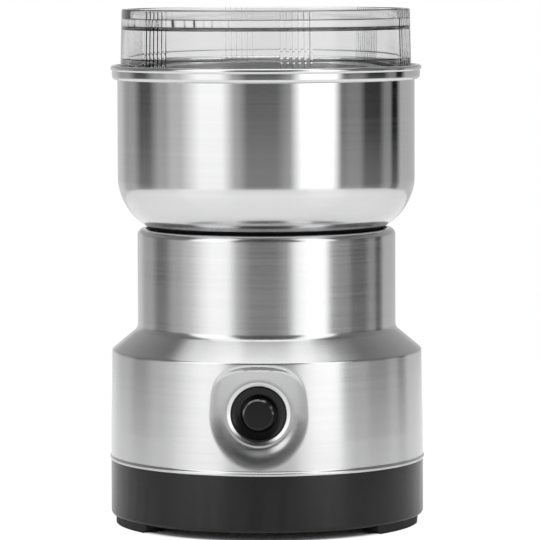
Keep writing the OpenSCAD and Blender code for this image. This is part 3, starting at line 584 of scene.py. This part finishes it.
def finishes():
    """One finish for each material slot of the record, made once."""
    if FINISHES:
        return FINISHES
    c = colours()
    bowl_wall = (sizes().bowl_radius, height("bowl", 0) + 14 * MM)
    button_edge = (button_height(), sizes().cap_radius)
    FINISHES.update({
        "brushed_shell": brushed_steel("brushed_shell", c.steel, 0.21),
        "bowl_steel": brushed_steel("bowl_steel", c.steel, 0.11, satin_and_lit_from=bowl_wall),
        "clear_lid": clear_plastic("clear_lid", c.clear),
        "base_plastic": moulded(
            "base_plastic", c.black, 0.25, depth=0.000003, stretch=0.8, shine=0.39),
        "button_plastic": moulded(
            "button_plastic", c.black, 0.16, 3200, depth=0.000005, shine=0.3, rubbed_and_lit=button_edge),
        "hub_plastic": moulded("hub_plastic", c.black, 0.4),
        **{slot: moulded(slot, *look) for slot, look in INNER_PLASTICS.items()},
        "foot_rubber": soft_rubber("foot_rubber", c.rubber),
        "seal_rubber": soft_rubber("seal_rubber", shade(c.rubber, 0.8)),
        "carbon": soft_rubber("carbon", (0.03, 0.03, 0.032)),
        **{slot: machined_metal(slot, *look) for slot, look in INNER_METALS.items()},
        "copper_winding": wound_copper("copper_winding", c.copper),
        "lamination_steel": stacked_plates("lamination_steel", (0.30, 0.31, 0.33)),
    })
    return FINISHES


# ---- Steel shell ----

# Width of the neck's edge that turns in under the bowl
NECK_EDGE = 2.65 * MM

# Degrees of the shell that hold the dish, and the steps there and in the rest
DISH_ARC, DISH_STEPS, REST_STEPS = 44, 124, 112

# Flat land between the button's ring and the dish's slope
RING_LAND = 2.05 * MM


def shell_line():
    """The shell's outer side from its hem, through the shoulder, to the neck's turned-in edge."""
    s = sizes()
    low = height("outer_shell", 0)
    top = height("outer_shell", 1) - s.neck_gap
    hem = reach("outer_shell")
    fold = 0.4 * MM
    return [
        (hem - fold, low, 0), (hem, low + 0.3 * MM, fold), (hem, low + 1.0 * MM, fold),
        (s.body_radius + 0.05 * MM, low + 1.5 * MM, fold), (s.body_radius, low + 10.5 * MM, 60 * MM),
        (s.body_radius - s.body_taper, low + s.shoulder, 0.8 * MM),
        (s.neck_radius, low + s.neck, 2.7 * MM), (s.neck_radius, top, 2 * MM),
        (s.neck_radius - NECK_EDGE, top, 0)]


def soft_min(a, b, width):
    """The smaller of two numbers, rounded where they meet."""
    h = min(1.0, max(0.0, 0.5 + 0.5 * (b - a) / width))
    return b + (a - b) * h - width * h * (1 - h)


def eased(run, start):
    """A slope of 1 that starts flat."""
    return run ** 2 / (run + start)


def dish_depth(spot, middle):
    """Distance from the axis, along -Y, of the pressed dish at a place on the front.

    The dish is half round below and squarer above. Its floor is nearly flat at the top and sides and
    leans out more and more towards the bottom, where it runs out without a wall.
    """
    s = sizes()
    out = math.hypot(spot.x, spot.z - middle)
    past_land = max(0.0, out - s.bezel_radius - RING_LAND)
    if not past_land:
        return s.dish_floor
    across, up = abs(spot.x) / out, (spot.z - middle) / out
    squareness = 3.2 if up > 0 else 2.0
    low, high = max(0.0, -up) ** 1.6, max(0.0, up) ** 2
    half_wide, half_high = s.dish_radius, s.dish_radius - 1.0 * MM
    edge = ((across / half_wide) ** squareness + (abs(up) / half_high) ** squareness) ** (-1 / squareness)
    past_edge = max(0.0, out - edge)
    lean = (0.08 + 0.56 * low) * eased(past_land, 0.3 * MM)
    wall = (0.2 + 1.3 * high) * (1 - low) * eased(past_edge, 0.2 * MM)
    return s.dish_floor + lean + wall


class GRINDER_OT_shell(bpy.types.Operator):
    """Turn the steel shell, press the button's dish into it and roll in the hole's edge"""
    bl_idname = "grinder.shell"
    bl_label = "Steel shell"

    def execute(self, context):
        s = sizes()
        middle = button_height()
        skin = drawn("steel_shell", shell_line())
        divided(skin, 0.0, middle + s.dish_radius + 3 * MM, 0.33 * MM)
        spun(skin, ((DISH_ARC, DISH_STEPS), (360 - DISH_ARC, REST_STEPS)))
        placed(skin, turn=(0, 0, FRONT + DISH_ARC / 2))
        self.press_dish(skin, middle)
        self.roll_hole(skin, middle)
        outward(skin)
        modified(skin, "SOLIDIFY", thickness=s.sheet, offset=-1.0, use_even_offset=True)
        smooth(skin, 40)
        return seated(skin, "housing", "brushed_shell", "outer_shell")

    def press_dish(self, skin, middle):
        """Sink the front into the dish, with an edge that is softer towards the bottom."""
        radius = sizes().dish_radius
        for v in skin.data.vertices:
            if v.co.y < 0 and math.hypot(v.co.x, v.co.z - middle) < 1.45 * radius:
                below = min(1, max(0, (middle - v.co.z) / radius))
                v.co.y = -soft_min(-v.co.y, dish_depth(v.co, middle), (0.7 + 0.9 * below) * MM)

    def roll_hole(self, skin, middle):
        """Cut the floor out round the button, fill it up to a true circle and turn its edge in."""
        floor = sizes().dish_floor
        hole = sizes().bezel_radius + 0.2 * MM
        collar = hole + 1.2 * MM
        cut = collar + 0.25 * MM
        lip = collar - 0.15 * MM

        def near(p, radius):
            return p.y < 0 and math.hypot(p.x, p.z - middle) < radius

        def on_ring(edge, radius):
            ends = [skin.data.vertices[i].co for i in edge.vertices]
            return all(p.y < 0 and abs(math.hypot(p.x, p.z - middle) - radius) < 0.02 * MM
                       and abs(p.y + floor) < SAME_PLACE for p in ends)

        for v in skin.data.vertices:
            if near(v.co, cut + 0.35 * MM):
                v.co.y = -floor
        select(skin, "polygons", lambda p: near(p.center, cut))
        bpy.ops.mesh.delete(type="FACE")
        bpy.ops.mesh.primitive_circle_add(
            vertices=120, radius=collar, location=(0, -floor, middle), rotation=(math.radians(90), 0, 0))
        bpy.ops.object.mode_set(mode="OBJECT")
        uses = {}
        for polygon in skin.data.polygons:
            for key in polygon.edge_keys:
                uses[key] = uses.get(key, 0) + 1
        select(skin, "edges", lambda e: uses.get(e.key, 0) < 2 and all(
            near(skin.data.vertices[i].co, cut + MM) for i in e.vertices))
        bpy.ops.mesh.fill(use_beauty=True)
        outward(skin)
        select(skin, "edges", lambda e: on_ring(e, collar))
        for factor, depth in ((lip / collar, 0), (hole / lip, 0.5 * MM), (1, 0.27 * MM)):
            bpy.ops.mesh.extrude_region_move(TRANSFORM_OT_translate={"value": (0, depth, 0)})
            bpy.ops.transform.resize(value=(factor, 1, factor), center_override=(0, -floor, middle))
        bpy.ops.object.mode_set(mode="OBJECT")
        select(skin, "edges", lambda e: on_ring(e, lip))
        bpy.ops.mesh.bevel(offset=0.13 * MM, segments=3, affect="EDGES")
        bpy.ops.object.mode_set(mode="OBJECT")


# ---- Bowl and lid ----

# Slope of the bowl's floor, in degrees, and its depth inside the neck
BOWL_CONE, BOWL_SINK = 38, 3.2 * MM

# Gap between the bowl and the neck's edge
LIP_GAP = 0.36 * MM

# Radius of the hole for the shaft's hub
HUB_HOLE = 7.3 * MM

# The lid's grip ribs: groups round the lid, ribs in a group, degrees and mesh steps from rib to rib
RIB_GROUPS, RIBS, RIB_PITCH, RIB_STEPS = 6, 6, 2.3, 4

# Degrees from the front to the middle of the first group
FIRST_RIBS = 15


class GRINDER_OT_bowl(bpy.types.Operator):
    """Turn the steel bowl with its coned floor, stepped seat and rolled rim"""
    bl_idname = "grinder.bowl"
    bl_label = "Steel bowl"

    def execute(self, context):
        s = sizes()
        slope = math.tan(math.radians(BOWL_CONE))
        low = height("bowl", 0)
        step = low + s.bowl_wall
        floor = s.neck_radius - (NECK_EDGE + LIP_GAP) - BOWL_SINK / slope
        foot = low + (s.bowl_radius - floor) * slope
        rim = s.bowl_radius + 1.7 * MM
        bead, bead_x, bead_z = 0.9 * MM, s.bowl_radius + 1.25 * MM, step + 3.7 * MM
        outside = [
            (HUB_HOLE, low, 0), (floor, low, 3 * MM), (s.bowl_radius, foot, 16.3 * MM),
            (s.bowl_radius, step, 0), (rim, step, 1.3 * MM), (rim, bead_z - 0.8 * MM, 0)]
        roll = [(bead_x + bead * math.cos(a), bead_z + bead * math.sin(a), 0) for a in (
            math.radians(degrees) for degrees in range(-60, 241, 15))]
        inside = inner_side(outside, s.sheet)
        inside[-1] = (inside[-1][0], bead_z - 0.85 * MM, 0)
        bowl = turned("steel_bowl", outside[:-1] + roll + inside[::-1], 200, step=6.0)
        smooth(bowl, 40)
        return seated(bowl, "housing", "bowl_steel", "bowl")


class GRINDER_OT_lid(bpy.types.Operator):
    """Turn the clear lid and raise its grip ribs"""
    bl_idname = "grinder.lid"
    bl_label = "Clear lid"

    def execute(self, context):
        s = sizes()
        low, top = height("lid", 0), height("lid", 1)
        seat, plate = low + 5.5 * MM, top - s.lid_recess
        under, groove = plate - 2 * MM, plate - 3.3 * MM
        outer = s.bowl_radius - 1.05 * MM
        inner, rim = outer - s.lid_wall, outer - 0.45 * MM
        skirt_in, skirt_out = inner - 0.5 * MM, s.bowl_radius - 1.2 * MM
        flange, flange_top = s.bowl_radius + 0.05 * MM, seat + 1.6 * MM
        edge = 0.6 * MM
        corners = [
            (0, under, 0), (inner + 1.4 * MM, under, 0), (inner, groove, 0),
            (inner, seat + 6.0 * MM, 0), (skirt_in, seat + 5.7 * MM, 0.2 * MM), (skirt_in, low, edge),
            (skirt_out, low, edge), (skirt_out, seat, 0),
            (flange, seat, 0.2 * MM), (flange, flange_top, 0.3 * MM),
            (outer, flange_top, 0), (rim, top, edge), (rim - s.lid_wall, top, edge),
            (rim - s.lid_wall - 0.2 * MM, plate, 0.5 * MM), (0, plate, 0)]
        group = RIBS * RIB_PITCH
        between = 360 / RIB_GROUPS - group
        lid = spun(drawn("clear_lid_cover", corners),
                   ((group, RIBS * RIB_STEPS), (between, 20)) * RIB_GROUPS)
        first = FRONT + FIRST_RIBS
        placed(lid, turn=(0, 0, first + group / 2))

        def on_rib(face):
            p = face.center
            if not (seat + 2 * MM < p.z < top - 1 * MM and math.hypot(p.x, p.y) > rim - 0.2 * MM):
                return False
            turn = (math.degrees(math.atan2(p.y, p.x)) - first + group / 2) % (360 / RIB_GROUPS)
            return turn < group and int(turn / (RIB_PITCH / RIB_STEPS)) % RIB_STEPS in (1, 2)

        select(lid, "polygons", on_rib)
        bpy.ops.mesh.inset(thickness=0.08 * MM, depth=0)
        bpy.ops.transform.shrink_fatten(value=s.rib_height)
        bpy.ops.object.mode_set(mode="OBJECT")
        smooth(lid)
        return seated(lid, "lid", "clear_lid", "lid")


# ---- Base ----

# Degrees from the front to a foot's nearer end, and the degrees that it covers
FOOT_START, FOOT_SPAN = 48.5, 36.0


class GRINDER_OT_base(bpy.types.Operator):
    """Smooth the moulded base and the cord's bush, and round the feet"""
    bl_idname = "grinder.base"
    bl_label = "Base and feet"

    def execute(self, context):
        seated(refined("base", "moulded_base"), "housing", "base_plastic", "base")
        seated(self.feet(), "housing", "foot_rubber", "feet")
        return seated(refined("cord_bush", "cord_grommet"), "housing", "foot_rubber", "cord_bush")

    def feet(self):
        """One arc with round ends, then its three mirror images."""
        outer = sizes().foot_reach
        inner = outer - sizes().foot_width
        low, top = height("feet", 0), height("feet", 1)
        foot = drawn(
            "rubber_feet", [(inner, low, 0), (outer, low, 0), (outer, top, 0), (inner, top, 0)], closed=True)
        edit_all()
        bpy.ops.mesh.spin(steps=16, angle=math.radians(FOOT_SPAN), center=(0, 0, 0), axis=(0, 0, 1))
        edit_all()
        bpy.ops.mesh.fill_holes(sides=8)
        outward(foot)
        placed(foot, turn=(0, 0, FRONT + FOOT_START + FOOT_SPAN))
        verts = foot.data.vertices

        def at_lower_end(index):
            p = verts[index].co
            turn = math.degrees(math.atan2(p.y, p.x)) - FRONT - FOOT_START
            return p.z < low + 0.01 * MM and min(abs(turn), abs(turn - FOOT_SPAN)) < 0.1

        select(foot, "edges", lambda e: all(at_lower_end(i) for i in e.vertices))
        bpy.ops.mesh.bevel(offset=2.1 * MM, segments=7, affect="EDGES")
        bpy.ops.object.mode_set(mode="OBJECT")
        modified(foot, "BEVEL", width=0.25 * MM, segments=3, limit_method="ANGLE",
                 angle_limit=math.radians(50))
        modified(foot, "MIRROR", use_axis=(True, True, False))
        return smooth(foot)


class GRINDER_OT_seals(bpy.types.Operator):
    """Smooth the ring between neck and bowl"""
    bl_idname = "grinder.seals"
    bl_label = "Neck seal"

    def execute(self, context):
        return seated(refined("neck_seal", "neck_ring"), "housing", "seal_rubber", "neck_seal")


# ---- Button ----

class GRINDER_OT_button(bpy.types.Operator):
    """Turn the button's ring and face, set them in the dish and smooth the spring behind them"""
    bl_idname = "grinder.button"
    bl_label = "Button"

    def execute(self, context):
        s = sizes()
        middle = button_height()
        back, front = s.dish_floor - 3.9 * MM, s.dish_floor - 0.5 * MM
        behind_sheet = s.dish_floor - s.sheet
        outer, bore, flange = s.bezel_radius, s.cap_radius + s.cap_gap, s.bezel_radius + 2.45 * MM
        ring = turned("button_ring", [
            (bore, back, 0), (flange, back, 0), (flange, behind_sheet, 0), (outer, behind_sheet, 0),
            (outer, front, 0.25 * MM), (outer - 0.4 * MM, front, 0.2 * MM),
            (outer - 1.2 * MM, front - 0.34 * MM, 5 * MM), (bore, front - 0.6 * MM, 0.15 * MM)], 120)
        stem, collar = 2.2 * MM, bore + 1.2 * MM
        stem_back, collar_back, collar_front = (back - drop * MM for drop in (4.3, 1.8, 0.3))
        face = front + s.cap_rise
        cap = turned("button_face", [
            (0, stem_back, 0), (stem, stem_back, 0), (stem, collar_back, 0),
            (collar, collar_back, 0.2 * MM), (collar, collar_front, 0.2 * MM),
            (s.cap_radius, collar_front, 0), (s.cap_radius, face, 0.8 * MM), (0, face - 0.15 * MM, 0)],
            120, closed=False)
        for piece in (ring, cap):
            placed(piece, (90, 0, 0), (0, 0, middle))
            smooth(piece)
        self.spring(middle)
        seated(ring, "housing", "button_plastic", "button_bezel")
        return seated(cap, "button", "button_plastic", "button_cap")

    def spring(self, middle):
        """The spring behind the button, as a smoothed copy with a mesh of its own."""
        spring = refined("button_spring", "return_spring")
        seated(spring, "housing", "spring_steel", "button_spring")
        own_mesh(spring)


# ---- Blade and inner pieces ----

class GRINDER_OT_blade(bpy.types.Operator):
    """Smooth the blade, its dome nut and washer, and the hub in the bowl's floor"""
    bl_idname = "grinder.blade"
    bl_label = "Blade and hub"

    def execute(self, context):
        seated(refined("blade", "cutting_blade"), "rotor", "blade_steel", "blade")
        seated(refined("blade_nut", "dome_nut"), "rotor", "screw_steel", "blade_nut")
        seated(refined("blade_washer", "blade_washer_ring"), "rotor", "screw_steel", "blade_washer")
        return seated(refined("shaft_hub", "bowl_hub"), "housing", "hub_plastic", "shaft_hub")


class GRINDER_OT_inside(bpy.types.Operator):
    """Give every solid its finish"""
    bl_idname = "grinder.inside"
    bl_label = "Motor and inner pieces"

    def execute(self, context):
        looks = finishes()
        slots = {piece["node"]: piece["material_slot"] for piece in frame["record"]["subparts"]}
        for name, node in NODES.items():
            node.data.materials.clear()
            node.data.materials.append(looks[slots[name]])
        return {"FINISHED"}


# ---- Studio ----

# Soft boxes and dark flags round the set, as (from, to, level), in degrees from the camera towards +X
PANELS = (
    (-180, -150, 0.68), (-138, -124, 0.44), (-113, -102, 0.10), (-91, -84, 0.46), (-78, -69, 0.68),
    (-52, -34, 1.52), (-24, -22, 0.50), (-14, 8, 0.14), (16, 18, 0.36), (27, 53, 1.80), (60, 63, 0.20),
    (67, 77, 0.27), (83, 98, 0.03), (105, 112, 0.30), (115, 121, 0.0), (128, 180, 0.56))

# A ramp holds levels up to 1, so these are stored at half and doubled
PANEL_SCALE = 2.0

# Where those boxes stand higher than the flags, as (degrees, share)
TALL_BOXES = ((-76, 0), (-70, 1), (-36, 1), (-29, 0), (29, 0), (36, 1), (62, 1), (68, 0))

# Level of the boxes' upper parts
TALL_LEVEL = 1.5

# Heights where the panels end and the floor's haze starts, as sines of the angle over the horizon
PANELS_END = (0.08, 0.18)
HAZE_START = (-0.068, -0.088)

# Edges of the overhead light, as the start and end of its rise along one axis
ROOF_RISE, ROOF_LEFT, ROOF_RIGHT, ROOF_BACK = (0.75, 0.82), (-0.545, -0.49), (0.44, 0.385), (-0.50, -0.38)

# Soft lamps that light the matt surfaces, as place, size and power in watts
LAMPS = {
    "left_softbox": ((-1.1, -1.0, 0.9), 0.9, 6.0),
    "right_softbox": ((1.2, -0.8, 0.8), 0.8, 5.0),
    "top_softbox": ((0.0, -0.2, 1.5), 1.0, 6.0),
}

# Height of the grinder's middle, which the lamps point at
LAMP_AIM = 0.08


class GRINDER_OT_studio(bpy.types.Operator):
    """Set the floor, the light and the camera"""
    bl_idname = "grinder.studio"
    bl_label = "Studio"

    def execute(self, context):
        scene = context.scene
        studio = scene.grinder_studio
        scene.view_settings.view_transform = "Standard"
        self.sky(scene, studio)
        self.floor(studio)
        self.lamps(scene)
        self.camera(scene, studio)
        return {"FINISHED"}

    def sky(self, scene, studio):
        """White to the camera, panels and overhead light to the steel, even light to the rest."""
        scene.world = bpy.data.worlds.new("studio_walls")
        f = Finish(scene.world)
        x, y, z = f.axes("Generated")
        turn = x.math("ARCTAN2", x, -y) * (0.5 / math.pi) + (0.5 - studio.azimuth / (2 * math.pi))
        stops = []
        for start, end, light in PANELS:
            stops += [(start, light / PANEL_SCALE), (end, light / PANEL_SCALE)]
        walls = f.ramp(turn, stops) * PANEL_SCALE
        tall = f.ramp(turn, TALL_BOXES)
        haze = f.step(z, *HAZE_START) * 0.2
        above = f.step(z, *PANELS_END)
        roof = f.step(z, *ROOF_RISE) * f.step(x, *ROOF_LEFT) * f.step(x, *ROOF_RIGHT) * f.step(y, *ROOF_BACK)
        aside = abs(x)
        behind = y * y * f.step(y, 0.0, 0.3) * 0.4
        under_dish = f.step(z, 0.50, 0.32) * f.step(y, -0.80, -0.86) * 0.12
        dusk = aside * 0.2 + behind + 0.04 + under_dish + tall * TALL_LEVEL
        seen = ((walls * (1 - haze) + haze) * (1 - above) + above * (1 - roof) * dusk
                + roof * (2.1 - aside * 1.6))
        glossy, camera, through = f.rays("Glossy", "Camera", "Transmission")
        mirrored = glossy * (1 - through)
        below = 1 - f.step(z, -0.2, -0.5) * 0.95
        cleared = through * below * (f.step(y, 0.70, 0.95) * 0.20 + 0.58)
        level = (camera + cleared + mirrored * seen
                 + (1 - camera - through - mirrored) * studio.daylight)
        back = f.node("ShaderNodeBackground", inputs={"Color": (1, 1, 1, 1), "Strength": level})
        f.node("ShaderNodeOutputWorld", inputs={"Surface": back})

    def floor(self, studio):
        """A pale floor, white to the camera but for the shadow at and under the base."""
        nothing_selected()
        bpy.ops.mesh.primitive_circle_add(vertices=96, radius=studio.floor, fill_type="NGON")
        floor = bpy.context.object
        floor.name = "pale_floor"
        f = Finish(bpy.data.materials.new("pale_floor"))
        spot = f.node("ShaderNodeTexCoord", output="Object")
        far = f.node("ShaderNodeVectorMath", {"operation": "LENGTH"}, {0: spot}, output="Value")
        shadow = (1 - f.step(far, 50.5 * MM, 61 * MM)) * 0.1 + (1 - f.step(far, 45 * MM, 49 * MM)) * 0.9
        cloud = f.noise(3.0, 2.0) * 0.02
        camera, through, glossy = f.rays("Camera", "Transmission", "Glossy")
        paint = f.blend(cloud, (0.97, 0.97, 0.97), (0.5, 0.5, 0.5))
        matt = f.node("ShaderNodeBsdfDiffuse", inputs={"Color": paint})
        sheen = f.node("ShaderNodeBsdfGlossy", inputs={"Color": (1, 1, 1, 1), "Roughness": 0.15})
        grazing = f.node("ShaderNodeFresnel", inputs={"IOR": 1.5})
        top = f.node("ShaderNodeMixShader", inputs={0: glossy * grazing * 0.55, 1: matt, 2: sheen})
        glow = f.node("ShaderNodeEmission", inputs={"Color": (1, 1, 1, 1), "Strength": 1.04})
        white = camera * (1 - shadow) + through
        mixed = f.node("ShaderNodeMixShader", inputs={0: white, 1: top, 2: glow})
        f.node("ShaderNodeOutputMaterial", inputs={"Surface": mixed})
        floor.data.materials.append(f.owner)

    def lamps(self, scene):
        for name, (spot, size, power) in LAMPS.items():
            lamp = bpy.data.lights.new(name, "AREA")
            lamp.energy = power
            lamp.size = size
            holder = bpy.data.objects.new(name, lamp)
            holder.location = spot
            way = Vector((0, 0, LAMP_AIM)) - Vector(spot)
            holder.rotation_euler = way.to_track_quat("-Z", "Y").to_euler()
            holder.visible_glossy = False
            holder.visible_camera = False
            scene.collection.objects.link(holder)

    def camera(self, scene, studio):
        lens = bpy.data.cameras.new("product_camera")
        lens.lens = studio.lens
        lens.sensor_width = 36.0
        lens.clip_start, lens.clip_end = 0.05, 20.0
        camera = bpy.data.objects.new("product_camera", lens)
        a = studio.azimuth
        camera.location = (studio.distance * math.sin(a), -studio.distance * math.cos(a), studio.eye)
        aim = Vector((studio.aside * math.cos(a), studio.aside * math.sin(a), studio.aim))
        camera.rotation_euler = (aim - camera.location).to_track_quat("-Z", "Y").to_euler()
        camera.rotation_euler.rotate_axis("Z", studio.roll)
        scene.collection.objects.link(camera)
        scene.camera = camera


# ---- Panel and registration ----

PIECES = (
    GRINDER_OT_inside, GRINDER_OT_shell, GRINDER_OT_bowl, GRINDER_OT_lid, GRINDER_OT_base,
    GRINDER_OT_seals, GRINDER_OT_button, GRINDER_OT_blade, GRINDER_OT_studio)

GROUPS = {"grinder_sizes": GrinderSizes, "grinder_colours": GrinderColours, "grinder_studio": GrinderStudio}


class GRINDER_PT_pieces(bpy.types.Panel):
    bl_label = "Spice grinder"
    bl_idname = "GRINDER_PT_pieces"
    bl_space_type = "VIEW_3D"
    bl_region_type = "UI"
    bl_category = "Grinder"

    def draw(self, context):
        for name, group in GROUPS.items():
            box = self.layout.box()
            for key in group.__annotations__:
                box.prop(getattr(context.scene, name), key)
        for piece in PIECES:
            self.layout.operator(piece.bl_idname)


def register():
    for name, group in GROUPS.items():
        bpy.utils.register_class(group)
        setattr(bpy.types.Scene, name, bpy.props.PointerProperty(type=group))
    for piece in PIECES:
        bpy.utils.register_class(piece)
    bpy.utils.register_class(GRINDER_PT_pieces)


def unregister():
    bpy.utils.unregister_class(GRINDER_PT_pieces)
    for piece in reversed(PIECES):
        bpy.utils.unregister_class(piece)
    for name, group in GROUPS.items():
        delattr(bpy.types.Scene, name)
        bpy.utils.unregister_class(group)


def main():
    register()
    for piece in PIECES:
        group, name = piece.bl_idname.split(".")
        getattr(getattr(bpy.ops, group), name)()


if __name__ == "__main__":
    main()
